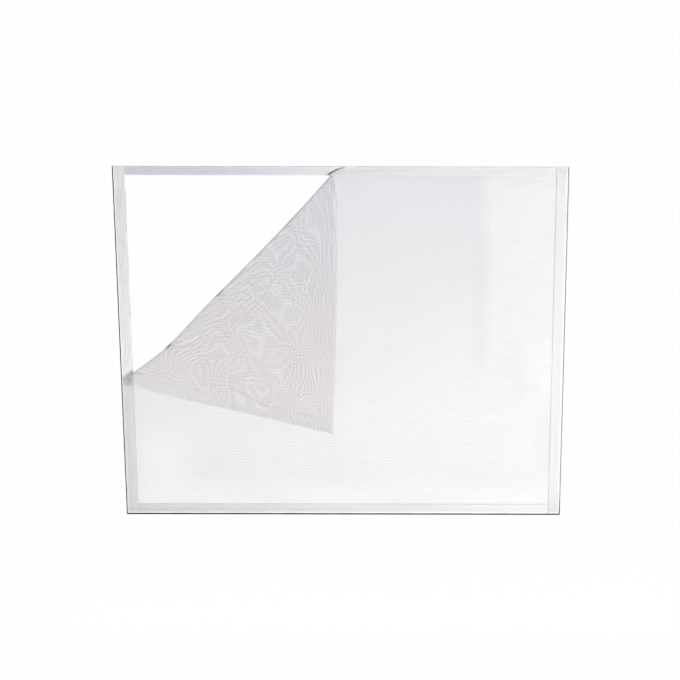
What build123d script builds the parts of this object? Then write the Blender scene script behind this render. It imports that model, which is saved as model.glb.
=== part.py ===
"""Adhesive insect screen: four strips of self-adhesive hook tape hold a net, with one corner peeled over.

X runs to the right, Z up, and the front faces -Y. The adhesive backs lie in the plane Y = 0.
The origin is the middle of the lower edge. Depths are measured from the adhesive plane to the front.
"""

import os
from math import hypot, pi

from build123d import *

# Driving dimensions, in millimetres
frame_width = 800.0
frame_height = 660.0

tape_width = 20.0
top_tape_width = 16.0
tape_base = 0.5
selvedge = 2.0
hook_row_pitch = 2.0
hook_height = 1.4
hook_stem = 0.3
hook_crook_radius = 0.45
hook_tip_drop = 0.25

adhesive_lip = 2.0
adhesive_thickness = 1.5
adhesive_bevel = 1.2

net_thickness = 0.4
net_inset = 0.5
net_seat_clearance = 0.1

peel_across = 406.0
peel_down = 406.0
tip_across = 383.0
tip_down = 495.0
bend_radius = 4.0

gap_columns = 11
gap_rows = 9
strand_width = 6.0
ridge_width = 3.0
ridge_height = 0.6

# Values that follow from the driving dimensions
strip_width = adhesive_lip + tape_width
hook_depth = adhesive_thickness + tape_base + hook_height
net_back = hook_depth + net_seat_clearance
net_front = net_back + net_thickness
flap_back = net_front + 2 * bend_radius
flap_front = flap_back + net_thickness
bend_outer_radius = bend_radius + net_thickness

net_left = net_inset - frame_width / 2
net_right = -net_left
net_bottom = adhesive_lip
net_top = frame_height - net_inset

opening_width = frame_width - 2 * strip_width
opening_bottom = strip_width
opening_top = frame_height - top_tape_width


def hook_section(facing):
    """One hook row from the side: a stem that bends over (facing 1 or -1) and ends in a short tip."""
    crook_across = facing * (hook_crook_radius - hook_stem / 2)
    crook_up = hook_height - hook_crook_radius
    inner_radius = hook_crook_radius - hook_stem
    stem = Pos(0, crook_up / 2) * Rectangle(hook_stem, crook_up)
    ring = Circle(hook_crook_radius) - Circle(inner_radius)
    upper_half = Rectangle(2 * hook_crook_radius, hook_crook_radius, align=(Align.CENTER, Align.MIN))
    tip = Pos(2 * crook_across, crook_up - hook_tip_drop / 2) * Rectangle(hook_stem, hook_tip_drop)
    return stem + Pos(crook_across, crook_up) * (ring & upper_half) + tip


def hook_tape(length, width):
    """A length of tape along X: a flat base, bare selvedges and rows of hooks facing both ways in turn."""
    section = Pos(0, tape_base / 2) * Rectangle(width, tape_base)
    row_count = int((width - 2 * selvedge) / hook_row_pitch)
    first_row = -hook_row_pitch * (row_count - 1) / 2
    for row in range(row_count):
        facing = 1 if row % 2 == 0 else -1
        section += Pos(first_row + row * hook_row_pitch, tape_base) * hook_section(facing)
    return extrude(Plane.YZ * section, length)


def adhesive(length, width, outer_lip, start_lip, end_lip):
    """A length of adhesive along X, its outer edge at Y = 0, bevelled where it shows beside the tape."""
    strip = Box(length, outer_lip + width, adhesive_thickness, align=Align.MIN)
    front_edges = strip.faces().sort_by(Axis.Z)[-1].edges()
    outer_edge = front_edges.sort_by(Axis.Y)[0]
    start_edge, *_, end_edge = front_edges.sort_by(Axis.X)
    lips = [(outer_edge, outer_lip), (start_edge, start_lip), (end_edge, end_lip)]
    showing = [edge for edge, lip in lips if lip > 0]
    return chamfer(showing, adhesive_bevel) if showing else strip


def strip_pieces(place, length, width, outer_lip, start_lip, end_lip):
    """The adhesive and the tape of one side of the frame, set where the side starts."""
    backing = adhesive(length, width, outer_lip, start_lip, end_lip)
    tape_place = Pos(start_lip, outer_lip + width / 2, adhesive_thickness)
    tape = tape_place * hook_tape(length - start_lip - end_lip, width)
    return place * backing, place * tape


def frame_sides():
    """Each side's name with its adhesive and tape.

    The uprights run the full height, and the other two butt between them.
    The adhesive shows at the left, the right and the bottom, and the tape is flush along the top.
    """
    half = frame_width / 2
    front = (0, -1, 0)
    left_start = Plane((-half, 0, frame_height), (0, 0, -1), front)
    right_start = Plane((half, 0, 0), (0, 0, 1), front)
    top_start = Plane((opening_width / 2, 0, frame_height), (-1, 0, 0), front)
    bottom_start = Plane((-opening_width / 2, 0, 0), (1, 0, 0), front)
    return {
        "left": strip_pieces(left_start, frame_height, tape_width, adhesive_lip, 0, adhesive_lip),
        "right": strip_pieces(right_start, frame_height, tape_width, adhesive_lip, adhesive_lip, 0),
        "top": strip_pieces(top_start, opening_width, top_tape_width, 0, 0, 0),
        "bottom": strip_pieces(bottom_start, opening_width, tape_width, adhesive_lip, 0, 0),
    }


# The net's flat corner and the fold line across it, as points in X and Z
fold_height = peel_across * peel_down / hypot(peel_across, peel_down)
fold_inward = Vector(peel_down, -peel_across).normalized()
fold_along = Vector(peel_across, peel_down).normalized()
corner = Vector(net_left, net_top)
flap_tip = corner + Vector(tip_across, -tip_down)
bend_length = pi * (bend_radius + net_thickness / 2)


def on_top_edge(height):
    """Where a line parallel to the fold, at this height from the corner, meets the net's top edge."""
    return corner + Vector(peel_across * height / fold_height, 0)


def on_left_edge(height):
    """Where a line parallel to the fold, at this height from the corner, meets the net's left edge."""
    return corner - Vector(0, peel_down * height / fold_height)


panel_edge = fold_height + bend_outer_radius
flat_flap_edge = panel_edge - bend_length


def corner_height(point):
    """How far a point of the flat net is from the corner, square to the fold."""
    return (point - corner).dot(fold_inward)


def on_flap(point):
    """Where a point of the flat corner lies once the corner is folded over and drawn out to the tip."""
    across = (point.X - corner.X) / (on_top_edge(flat_flap_edge).X - corner.X)
    down = (corner.Y - point.Y) / (corner.Y - on_left_edge(flat_flap_edge).Y)
    toward_top = (on_top_edge(panel_edge) - flap_tip) * across
    toward_left = (on_left_edge(panel_edge) - flap_tip) * down
    return flap_tip + toward_top + toward_left


def trimmed(points, height, side):
    """The part of an outline past a line parallel to the fold, on its far (side 1) or corner side (-1)."""
    kept = []
    for here, there in zip(points, points[1:] + points[:1]):
        past_here = side * (corner_height(here) - height)
        past_there = side * (corner_height(there) - height)
        if past_here > 0:
            kept.append(here)
        if past_here * past_there < 0:
            kept.append(here + (there - here) * (past_here / (past_here - past_there)))
    return kept


def wall(points, back_depth, thickness):
    """A flat wall with this outline, its back at a depth in front of the adhesive plane."""
    outline = make_face(Polyline(*[(p.X, p.Y) for p in points], close=True))
    return extrude(Plane.XZ.offset(back_depth) * outline, thickness)


def ridge(start, end, depth, facing):
    """A round-backed strand on a wall from start to end, on its front (facing 1) or its back (-1)."""
    run = Vector(end.X - start.X, 0, end.Y - start.Y)
    across = Vector(0, -facing, 0).cross(run.normalized())
    place = Plane((start.X, -depth, start.Y), across, run.normalized())
    half = ridge_width / 2
    crown = ThreePointArc((half, 0), (0, ridge_height), (-half, 0))
    section = make_face([Line((-half, 0), (half, 0)), crown])
    return extrude(place * section, run.length)


# The weave: gaps on an even grid between the tapes, with a strand between each two
gap_width = (opening_width - (gap_columns + 1) * strand_width) / gap_columns
gap_height = (opening_top - opening_bottom - (gap_rows + 1) * strand_width) / gap_rows
gap_left = strand_width - opening_width / 2
gap_bottom = opening_bottom + strand_width


def gap_corners():
    """The four corners of every gap of the flat net."""
    for column in range(gap_columns):
        for row in range(gap_rows):
            x = gap_left + column * (gap_width + strand_width)
            z = gap_bottom + row * (gap_height + strand_width)
            steps = [(0, 0), (gap_width, 0), (gap_width, gap_height), (0, gap_height)]
            yield [Vector(x + right, z + up) for right, up in steps]


def strand_lines():
    """Both ends of every strand of the flat net: level ones on its front, upright ones on its back."""
    for row in range(1, gap_rows):
        z = gap_bottom + row * (gap_height + strand_width) - strand_width / 2
        yield Vector(net_left + strand_width, z), Vector(net_right - strand_width, z), 1
    for column in range(1, gap_columns):
        x = gap_left + column * (gap_width + strand_width) - strand_width / 2
        yield Vector(x, opening_top - strand_width), Vector(x, gap_bottom), -1


def insect_net():
    """The net as one sheet: the flat panel, the round bend along the fold and the flap in front."""
    top_start, left_start = on_top_edge(panel_edge), on_left_edge(panel_edge)
    panel_outline = [
        top_start,
        Vector(net_right, net_top),
        Vector(net_right, net_bottom),
        Vector(net_left, net_bottom),
        left_start,
    ]
    panel = wall(panel_outline, net_back, net_thickness)
    flap = wall([top_start, flap_tip, left_start], flap_back, net_thickness)

    panel_gaps, flap_gaps = [], []
    for gap in gap_corners():
        panel_gap = trimmed(gap, panel_edge + strand_width, 1)
        flap_gap = [on_flap(point) for point in trimmed(gap, flat_flap_edge - strand_width, -1)]
        if panel_gap:
            panel_gaps.append(wall(panel_gap, net_back, net_thickness))
        if flap_gap:
            flap_gaps.append(wall(flap_gap, flap_back, net_thickness))
    panel -= panel_gaps
    flap -= flap_gaps

    panel_ridges, flap_ridges = [], []
    for start, end, facing in strand_lines():
        panel_depth = net_front if facing > 0 else net_back
        flap_depth = flap_back if facing > 0 else flap_front
        run = (end - start).normalized()
        pace = run.dot(fold_inward)
        to_panel = (panel_edge + strand_width - corner_height(start)) / pace
        to_fold = (flat_flap_edge - strand_width - corner_height(start)) / pace
        panel_ridges.append(ridge(start + run * max(to_panel, 0), end, panel_depth, facing))
        if to_fold > strand_width:
            ends = [on_flap(start), on_flap(start + run * to_fold)]
            flap_ridges.append(ridge(*ends, flap_depth, -facing))
    panel += panel_ridges
    flap += flap_ridges

    ring = Circle(bend_outer_radius) - Circle(bend_radius)
    half_ring = ring & Rectangle(bend_outer_radius, 2 * bend_outer_radius, align=(Align.MIN, Align.CENTER))
    along = Vector(fold_along.X, 0, fold_along.Y)
    outward = Vector(-fold_inward.X, 0, -fold_inward.Y)
    run_out = 2 * bend_outer_radius
    bend_start = left_start - fold_along * run_out
    bend_depth = net_front + bend_radius
    bend_plane = Plane((bend_start.X, -bend_depth, bend_start.Y), outward, along)
    bend = extrude(bend_plane * half_ring, (top_start - left_start).length + 2 * run_out)
    bend &= wall(
        [corner, Vector(net_right, net_top), Vector(net_right, net_bottom), Vector(net_left, net_bottom)],
        net_back,
        flap_front - net_back,
    )
    return panel + bend + flap


os.makedirs("parts", exist_ok=True)
for side, (backing, tape) in frame_sides().items():
    export_step(backing, f"parts/adhesive_{side}.step")
    export_step(tape, f"parts/hook_tape_{side}.step")
export_step(insect_net(), "parts/insect_net.step")
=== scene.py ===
"""Looks of the adhesive insect screen: a net of separate threads on four ribbons of hooks, backed by foam.

Lengths are in metres in the part's own frame: X to the right, Z up, the front towards -Y.
Depth is the distance in front of the adhesive plane, so a point's Y is minus its depth.
On the net, u runs to the right from its left edge and v runs down from its top edge, both measured flat.
A pair of places is the stretch over which something sets in: none of it at the first, all at the second.
"""

import math

import bpy
import numpy as np
from mathutils import Matrix, Vector


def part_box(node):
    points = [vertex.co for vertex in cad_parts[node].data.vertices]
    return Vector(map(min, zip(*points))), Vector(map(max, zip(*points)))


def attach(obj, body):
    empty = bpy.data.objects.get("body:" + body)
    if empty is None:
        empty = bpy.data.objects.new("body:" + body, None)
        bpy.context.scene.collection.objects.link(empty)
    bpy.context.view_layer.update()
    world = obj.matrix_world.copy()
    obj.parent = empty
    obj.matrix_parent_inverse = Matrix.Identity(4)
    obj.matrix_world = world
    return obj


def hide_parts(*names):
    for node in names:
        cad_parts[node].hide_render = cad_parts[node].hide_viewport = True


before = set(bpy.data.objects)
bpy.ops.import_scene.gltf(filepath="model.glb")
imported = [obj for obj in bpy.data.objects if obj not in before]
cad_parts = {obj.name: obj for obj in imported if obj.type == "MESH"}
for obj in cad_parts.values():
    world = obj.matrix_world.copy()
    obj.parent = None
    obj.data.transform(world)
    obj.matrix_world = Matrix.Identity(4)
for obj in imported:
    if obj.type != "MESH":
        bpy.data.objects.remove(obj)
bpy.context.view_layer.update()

MM = 0.001
ROOT_TWO = math.sqrt(2)
FULL_TURN = 2 * math.pi
BAKE_MAP = "OFBake"
random = np.random.default_rng(11)

# The camera: angles in degrees, lens in millimetres, and its place from the middle of the screen
SCREEN_MIDDLE = (0, 0, 0.33)
CAMERA_ELEVATION = 18.477
CAMERA_AZIMUTH = -0.128
CAMERA_ROLL = 0.153
CAMERA_DISTANCE = 3.7390
CAMERA_TO_RIGHT = 0.11856
CAMERA_UPWARDS = 0.00952
CAMERA_LENS = 110.069
CAMERA_SENSOR = 36
CAMERA_SHIFT = -0.1

# The light, and how much of the floor shows as plain white
WORLD_STRENGTH = 0.67
LOW_LAMP = {"place": (0.25, -0.5, 0.12), "target": (0.25, 0, 0.14), "size": (1.5, 0.14), "power": 1.15}
SIDE_LAMP = {"place": (1.7, -1.7, 0.55), "target": (0.2, 0, 0.3), "size": (0.9, 0.9), "power": 27}
FLOOR_REACH = 20.0
FLOOR_COLOUR = (0.86, 0.86, 0.86)
FLOOR_ROUGHNESS = 0.9
FLOOR_WHITENESS = 0.985
WHITE = (1.0, 1.0, 1.0)

# The net's place and the tapes' edges, from the frame
net_low, net_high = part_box("insect_net")
NET_LEFT = net_low.x
NET_TOP = net_high.z
NET_WIDTH = net_high.x - net_low.x
NET_HEIGHT = net_high.z - net_low.z
HOOK_DEPTH = -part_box("hook_tape_top")[0].y
LEFT_TAPE_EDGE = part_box("hook_tape_left")[1].x - NET_LEFT
RIGHT_TAPE_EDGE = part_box("hook_tape_right")[0].x - NET_LEFT
TOP_TAPE_EDGE = NET_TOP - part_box("hook_tape_top")[0].z
BOTTOM_TAPE_EDGE = NET_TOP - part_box("hook_tape_bottom")[1].z
SIDE_TRIM = 3.2 * MM
LOWER_TRIM = 3.9 * MM
FLAT_WIDTH = NET_WIDTH - 2 * SIDE_TRIM
FLAT_HEIGHT = NET_HEIGHT - LOWER_TRIM

# The net's threads, and the runs between the stations at which they are bent
THREAD_PITCH = 1.4 * MM
THREAD_WIDTH = 0.32 * MM
THREAD_THICKNESS = 0.24 * MM
THREAD_LIFT = 0.1 * MM
THREAD_SECTION = np.array([(-0.5, -0.5), (0.5, -0.5), (0.5, 0.5), (-0.5, 0.5)])
UPRIGHT_START = SIDE_TRIM + THREAD_WIDTH
LEVEL_START = THREAD_WIDTH
THREAD_JITTER = 0.05 * MM
FRAY = 0.4 * MM
LEAST_FRAY = 0.2
PLAIN_RUNS = 16
FLAP_RUNS = 11
BEND_RUNS = 6
PANEL_RUNS = 12
SHORTEST_CROSSING = 4 * MM
SHORTEST_FLAP = 3 * MM
SHORT_FLAP_SHARE = 0.4
SLOPE_STEP = 0.05 * MM

# Lines that draw the threads together: shares of the pull and the width of the bell beside each line
TOP_PRESS_LINE = 9 * MM
GATHER_WIDTH = 3 * MM
LEFT_GATHER = 0.3
RIGHT_GATHER = 0.7
TOP_GATHER = 0.5
BOTTOM_GATHER = 0.35
CREASE_GATHER = 0.25
CREASE_GATHER_WIDTH = 4 * MM
CREASE_LINE = 660 * MM
CREASE_LEAN = 0.012
CREASE_LEAN_START = 60 * MM
CREASE_UPPER_END = 40 * MM, 80 * MM
CREASE_LOWER_END = 340 * MM, 180 * MM

# The fold of the peeled corner. Places along it are shares of its length, from its left end to its upper end
PEEL = 406 * MM
BEND_RADIUS = 4 * MM
HALF_BEND = math.pi / 2 * BEND_RADIUS
PANEL_DEPTH = HOOK_DEPTH
FOLD_ENDS = -0.02, 1.04
FOLD_DRAW = 14 * MM
FOLD_DRAW_RUN = 0.1
FOLD_LEFT_REACH = 10.1 * MM
FOLD_UPPER_REACH = 13 * MM
FOLD_UPPER_POWER = 4
FOLD_DIP = 5 * MM
FOLD_DIP_PLACE = 0.2
FOLD_DIP_LENGTH = 0.125
FOLD_TOP = 393 * MM
END_INSET = 24 * MM

# How the flap leaves a plain fold: shifts across and down, and the lengths over which they act
TIP_PULL = (-25.4 * MM, 93 * MM)
EDGE_PULL = 3.6
RIGHT_CROWDING = (77.28 * MM, 20.72 * MM)
LOWER_CROWDING = (-2 * MM, 40 * MM)
DIP_FADE = 40 * MM, 130 * MM
LEFT_SAG = (-5 * MM, 9 * MM)
LEFT_SAG_ONSET = 8 * MM
LEFT_SAG_ACROSS = 80 * MM
LEFT_SAG_UP = 45 * MM
EDGE_BULGE = (1.3 * MM, 0)
BULGE_ONSET = 0.055
BULGE_POWER = 1.6
BULGE_REACH = 90 * MM
UPPER_DRAW = (-11 * MM, 11.5 * MM)
UPPER_DRAW_REACH = 14 * MM
FLAP_SETTLE = 3.5 * MM
FLAP_SETTLE_RUN = 50 * MM

# Waves of the net: height, wavelength, heading in degrees from u towards v, and phase
FLAP_ACROSS_WAVES = [
    (1.8 * MM, 120 * MM, 62, 0.4),
    (1.3 * MM, 74 * MM, 141, 2.1),
    (0.7 * MM, 51 * MM, 15, 4.0),
]
FLAP_DOWN_WAVES = [
    (1.8 * MM, 132 * MM, 28, 1.3),
    (1.2 * MM, 81 * MM, 112, 5.2),
    (0.6 * MM, 55 * MM, 70, 3.1),
]
PANEL_ACROSS_WAVES = [(1.0 * MM, 310 * MM, 70, 0.6), (0.6 * MM, 190 * MM, 20, 2.9)]
PANEL_DOWN_WAVES = [(1.1 * MM, 340 * MM, 15, 1.9), (0.6 * MM, 210 * MM, 100, 0.2)]
DEPTH_WAVES = [(0.9 * MM, 260 * MM, 40, 1.1), (0.6 * MM, 150 * MM, 130, 2.5)]
FLAP_WAVES_FROM_FOLD = 0, 35 * MM
FLAP_WAVES_FROM_EDGE = 0, 70 * MM
PANEL_WAVES_FROM_EDGE = 22 * MM, 82 * MM
PANEL_WAVES_FROM_CORNER = 1.25 * PEEL, 1.75 * PEEL

# Dark marks along the fold: strength, place and length. The shade beside the right tape, and the right hem
FOLD_MARKS = [(3.0, 0.206, 0.01), (3.6, 0.441, 0.012), (0.7, 0.762, 0.02)]
FOLD_MARK_WIDTH = 3.8 * MM
TAPE_SHADE = 0.4
TAPE_SHADE_WIDTH = 1.2 * MM
RIGHT_HEM = 0.5
RIGHT_HEM_STRETCH = 260 * MM, 140 * MM

# Lines on the net, from points in millimetres across and down from its corner: the dark mark of painted shade
# under the lifted net at the fold's upper end, and the line that the left tape's edge has pressed into the
# flap, with its stretches' darkness
TOP_MARK = (377, 14.5), (415, -1)
TOP_MARK_BOW = 11.7 * MM
TOP_MARK_WIDTH = 1.4 * MM
TOP_MARK_WIDENING = 1.6 * MM
TOP_MARK_EDGE = 1.5
TOP_MARK_START = 0, 0.05
TOP_MARK_END = 1, 0.75
TOP_MARK_FADING = 0.75
PRESSED_LINE = (195, 407.5), (268, 446), (304, 455.6), (372, 465)
PRESSED_DARKNESS = 0.32, 0.18, 0.12
PRESSED_WIDTH = 1.5 * MM
PRESSED_EDGE = 1.4
PRESSED_START = 0, 0.04
PRESSED_END = 1, 0.96

# The painted shade under the lifted net at the fold's left end: its middle in millimetres across and down
# from the net's corner, and its edges and its line in millimetres to the right and up from that middle
FOLD_END_SHADE_MIDDLE = (11, 394)
FOLD_END_SHADE_SLANT = 0.84
FOLD_END_SHADE_TOP = 12, 9
FOLD_END_SHADE_BOTTOM = -13, -10
FOLD_END_SHADE_RIGHT = 10.5, 8.5
FOLD_END_SHADE_LINE = 12.6
FOLD_END_SHADE_LINE_EDGE = 1.6
FOLD_END_SHADE_LINE_START = 5, 7
FOLD_END_SHADE_LINE_END = 33, 19
FOLD_END_SHADE_GROUND = 0.12
SPECKLE = 0.75
SPECKLE_SCALE = 380.0
SPECKLE_STEP = 0.47, 0.595

# The watered pattern on the flap: from line to line, how many lines it wanders, and where it shows
WAVE_PITCH = 5.4 * MM
WAVE_BEND = 9.0
WAVE_BEND_SCALE = 15.0
RIGHT_WAVES = 0.7
RIGHT_WAVES_STRETCH = -0.13, -0.07
LEFT_WAVES_LOSS = 0.5
LEFT_WAVES_STRETCH = -0.07, -0.025

# The faint level lines on the panel
LINE_PITCH = 5.6 * MM
LINE_BEND = 3.0
LINE_BEND_SCALE = 7.0
LINE_PATCH_SCALE = (9.0, 9.0, 24.0)
LINE_PATCHES = 0.42, 0.42 + 1 / 6
LINES_UP = 0.28, 0.16
LINES_ACROSS = 0.35, 0.05

# Where tones of the net set in, across or up the screen
UPPER_PART = 0.28, 0.64
SHADED_PART = 0.2, 0.64
LEFT_PART = 0.25, -0.25
BOTTOM_PART = 0.08, 0.025
CORNER_ACROSS = -0.26, -0.32
CORNER_UP = 0.19, 0.13
CREASE_MIDDLE = 0.249
CREASE_HALF_WIDTH = 0.02
CREASE_LOWER_FADE = 0.26, 0.34
CREASE_UPPER_FADE = 0.6, 0.5
LEFT_OF_CREASE = 0.262, 0.242
RIGHT_OF_CREASE = 0.28, 0.38
TAPE_TO_RIGHT = -0.1, 0.2

# Colours of the net. A tone has the most of it that shows, and its colour
FRESH_THREAD = (0.78, 0.775, 0.78)
AGED_THREAD = (0.74, 0.735, 0.745)
DARK_SLUBS = 0.5, (0.66, 0.655, 0.665)
LIGHT_SLUBS = 0.3, (0.92, 0.92, 0.92)
# Painted shade that darkens the panel towards the left
PAINTED_LEFT_SHADE = 0.45, (0.63, 0.625, 0.635)
DARK_LINES = 0.5, (0.40, 0.40, 0.405)
LIGHT_LINES = 0.6, (0.97, 0.97, 0.97)
# Painted light along the panel's lower edge, and lighter threads in its lower left corner
PAINTED_BOTTOM_LIGHT = 0.55
CORNER_LIGHTENING = 0.4
LIGHT_THREAD = (0.96, 0.96, 0.96)
# Painted shade in the crease
CREASE_PAINTED_SHADE = 0.3, (0.42, 0.42, 0.425)
SHADED_LOW = (0.51, 0.51, 0.515)
SHADED_HIGH = (0.515, 0.50, 0.605)
SHADE = 0.95
SHADE_AT_CREASE = 0.3
SHADE_GAIN_LEFT = 0.65
SHADE_LOSS_RIGHT = 0.25
# The flap low and high: cooler and a little darker towards the top, painted shade
FLAP_LOW = (0.99, 0.92, 0.925)
FLAP_HIGH = (0.86, 0.865, 0.985)
WATERED_DARK = (0.46, 0.41, 0.425)
HEM_TONE = 0.8, (0.69, 0.675, 0.69)
# Painted light: the threads that lie on the tapes, lighter than the panel's
ON_LEFT_TAPE = (0.94, 0.935, 0.96)
ON_RIGHT_TAPE = (0.92, 0.919, 0.922)
ON_UPPER_TAPE = (0.975, 0.97, 1.0)
# Painted shade where the lifted net ends on the left tape
NET_FOLD_END_SHADE = 0.6, (0.25, 0.24, 0.28)
# Dark marks, and painted shade, that follow the net
NET_DARK_MARKS_AND_SHADE = (0.03, 0.03, 0.035)

# Grain of the net's threads. A roughness has its least and what its pattern adds, and a bump has its
# strength and its height
AGEING_SCALE = 7.0
SLUB_SCALE = (28.0, 28.0, 330.0)
SLUB_STEP = 1 / 3, 2 / 3
FIBRE_SCALE = 9000.0
FIBRE_ROUGHNESS = 0.5, 0.25
FIBRE_BUMP = 0.3, 0.03 * MM

# The ribbons of hooks
RIBBON_BASE = 0.5 * MM
RIBBON_EDGE = 0.3 * MM
RIBBON_FIELD = 0.36 * MM
RIBBON_BEVEL = 0.2 * MM
RIBBON_STEP = 6 * MM
RIBBON_WANDER = 0.12 * MM
LONG_WANDER = 37 * MM
SHORT_WANDER = 11 * MM
SELVEDGE_WIDTH = 2 * MM
SELVEDGE_FLAT = 1.5 * MM
RIB_DEPTH = 0.46 * MM
RIB_FOOT = 0.7 * MM
RIB_CROWN = 0.35 * MM
SEAM = 0.2 * MM
FOAM_BELOW = 1.4 * MM
BAKE_BACK_OFFSET = 1 * MM
BAKE_SPREAD = 2.4

# The hooks
HOOK_ROW_PITCH = 2 * MM
HOOK_SPACING = 1.6 * MM
HOOK_RADIUS = 0.17 * MM
HOOK_HEIGHT = 1.4 * MM
HOOK_FOOT = 0.4 * MM
HOOK_ROOT = 0.1 * MM
HOOK_TIP = 0.25 * MM
CROOK_GAP = 0.13 * MM
HOOK_STRAY_ALONG = 0.15 * MM
HOOK_STRAY_ACROSS = 0.1 * MM
HOOK_TWIST = 0.25
HOOK_LEAN = 0.07
HOOK_STRETCH = 0.92, 1.02

# Grain of the tapes, along and across them
STREAKS_ALONG, STREAKS_ACROSS = 26.0, 520.0
STREAK_STEP = 0.375, 0.625
WEAVE_ALONG, WEAVE_ACROSS = 900.0, 2600.0
STREAK_ROUGHNESS = 0.4, 0.3
WEAVE_BUMP = 0.4, 0.08 * MM
CLOUD_SCALE = 30.0

# Where tones of the tapes set in. The first five lie across a tape, from -1 on its inner edge to 1 on its
# outer edge, and the others on the screen
INNER_EDGE = -0.84, -0.89
OUTER_EDGE = 0.8, 0.85
RIGHT_OUTER_EDGE = 0.45, 0.5
STRIPE_OUTER = 0.9, -0.1
STRIPE_INNER = -0.12, -0.06
LEFT_BARE = 0.27, 0.29
# Painted shade on the left tape's bare stretch: its least share, what it gains and where that sets in
LEFT_TAPE_SHADE = 0.75
LEFT_TAPE_SHADE_GAIN = 0.2
LEFT_TAPE_SHADE_UP = 0.4, 0.6
LEFT_UNDER_NET = 0.25, 0.23
# Painted shade on the top tape, darker to the left, and painted light on its right half
TOP_SHADE_STRETCH = 0.28, -0.22
TOP_BARE = 0, -0.02
TOP_SHADE_UNDER_NET = 0.25
TOP_PAINTED_LIGHT_STRETCH = 0, 0.15
BOTTOM_SHADE_STRETCH = 0.05, -0.25
# Painted light on the bottom tape's right stretch
BOTTOM_PAINTED_LIGHT_STRETCH = 0.05, 0.2

# Colours of the tapes
DARK_STREAK = (0.92, 0.918, 0.922)
LIGHT_STREAK = (0.985, 0.983, 0.983)
CLOUDS = 0.35, (0.94, 0.94, 0.945)
# Painted shade on the left tape's bare stretch, darker and cooler
SHADED_DARK_STREAK = (0.70, 0.705, 0.73)
SHADED_LIGHT_STREAK = (0.86, 0.86, 0.87)
# Painted shade where the lifted net ends on the left tape
TAPE_FOLD_END_SHADE = 0.4, (0.25, 0.24, 0.28)
LEFT_STRIPE = 0.2, (0.60, 0.60, 0.67)
# Painted shade on the top tape
TOP_TAPE_SHADE = 0.9, (0.655, 0.665, 0.71)
# Painted light on the top tape's right half
TOP_PAINTED_LIGHT = 0.8, (0.99, 0.99, 1.0)
# Painted shade of the stroke under the lifted net at the fold's upper end
TAPE_PAINTED_SHADE = (0.04, 0.04, 0.045)
TOP_EDGE_TONE = 0.25, (0.60, 0.60, 0.63)
RIGHT_SHADE = 0.5
BOTTOM_SHADE = 0.4
SHADED_TAPE = (0.80, 0.80, 0.805)
# Painted light on the bottom tape's right stretch
BOTTOM_PAINTED_LIGHT = (0.995, 0.995, 0.992)
RIGHT_INNER_LINE = 0.85
BOTTOM_INNER_LINE = 0.35
BOTTOM_INNER_GAIN = 0.3
INNER_LINE = (0.50, 0.50, 0.52)
BARE_SELVEDGE = (0.985, 0.985, 0.985)
# Painted shade that greys the right tape's outer edge
RIGHT_EDGE_PAINTED_SHADE = (0.81, 0.81, 0.81)

# The foam: its grain, its colours, and the stretch at the right whose front is grey with painted light
CELL_SCALE = 1600.0
CELL_BUMP = 0.5, 0.1 * MM
FOAM_ROUGHNESS = 0.7, 0.2
FOAM_DUST_SCALE = 60.0
FOAM_DARK = (0.012, 0.012, 0.013)
FOAM_LIGHT = (0.024, 0.024, 0.025)
FOAM_DUST = 0.3, (0.06, 0.06, 0.062)
FOAM_PAINTED_LIGHT = 0.7, (0.30, 0.30, 0.305)
FOAM_LIT_ACROSS = 0.38, 0.39
FOAM_LIT_UP = 0.01, 0.03
FOAM_LIT_FRONT = 0, -0.3 * MM
FOAM_GLOSS = 0.2


def eased(x, start, end):
    """A ramp with level ends, 0 at start and 1 at end: 3 t squared minus 2 t cubed, t the share between."""
    t = np.clip((x - start) / (end - start), 0, 1)
    return t * t * (3 - 2 * t)


def bump_at(x, middle, width):
    """A bell of height 1: e to the minus of the squared distance in widths."""
    return np.exp(-(((x - middle) / width) ** 2))


def unit(vectors):
    """The same directions with length 1."""
    return vectors / np.linalg.norm(vectors, axis=-1, keepdims=True)


def waves(u, v, rows):
    """The sum of plane waves, each height times the sine of the distance along its heading in wavelengths."""
    total = np.zeros_like(u)
    for height, wavelength, heading, phase in rows:
        angle = math.radians(heading)
        along = u * math.cos(angle) + v * math.sin(angle)
        total = total + height * np.sin(FULL_TURN * along / wavelength + phase)
    return total


def gathered(u, v):
    """The flat net with its threads drawn together along the tapes' inner edges and along the crease.

    Beside a line at distance x the pull is minus a share of x times a bell in x, so the line stays in place.
    """
    def pull(place, line, width, share):
        return -share * (place - line) * bump_at(place, line, width)

    crease_share = CREASE_GATHER * eased(v, *CREASE_UPPER_END) * eased(v, *CREASE_LOWER_END)
    crease_line = CREASE_LINE - CREASE_LEAN * (v - CREASE_LEAN_START)
    du = pull(u, LEFT_TAPE_EDGE, GATHER_WIDTH, LEFT_GATHER)
    du = du + pull(u, RIGHT_TAPE_EDGE, GATHER_WIDTH, RIGHT_GATHER)
    du = du + pull(u, crease_line, CREASE_GATHER_WIDTH, crease_share)
    dv = pull(v, TOP_PRESS_LINE, GATHER_WIDTH, TOP_GATHER)
    dv = dv + pull(v, BOTTOM_TAPE_EDGE, GATHER_WIDTH, BOTTOM_GATHER)
    return u + du, v + dv


def fold_place(u, v):
    """The share of the fold's length from its end on the left tape (0) to its end on the top tape (1)."""
    return np.clip((u - v) / (2 * PEEL) + 0.5, *FOLD_ENDS)


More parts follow.
